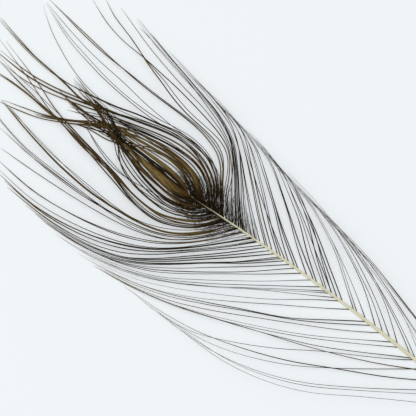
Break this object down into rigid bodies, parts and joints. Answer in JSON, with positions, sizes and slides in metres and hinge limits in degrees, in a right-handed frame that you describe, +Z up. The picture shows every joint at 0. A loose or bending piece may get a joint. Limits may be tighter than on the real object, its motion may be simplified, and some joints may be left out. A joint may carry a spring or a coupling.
{
  "type": "stripped peacock eye feather",
  "caption": "Stripped peacock eye feather lying flat: slender shaft, bare wiry barbs sweeping to the tip on both sides, and the eye's barbs gathered into a dark drop.",
  "frame": {"origin": "centre of the feather's footprint, on the surface that it lies on", "axes": "+Z up from the surface, +Y along the feather to the tip of the eye, +X to the feather's right as seen from above"},
  "size_m": [0.1142, 0.2972, 0.0058],
  "materials": {
    "barbs": "satin keratin",
    "shaft": "satin cream keratin",
    "eye": "satin golden olive keratin"
  },
  "bodies": {
    "root": {"feather": "barbs"}
  },
  "joints": []
}
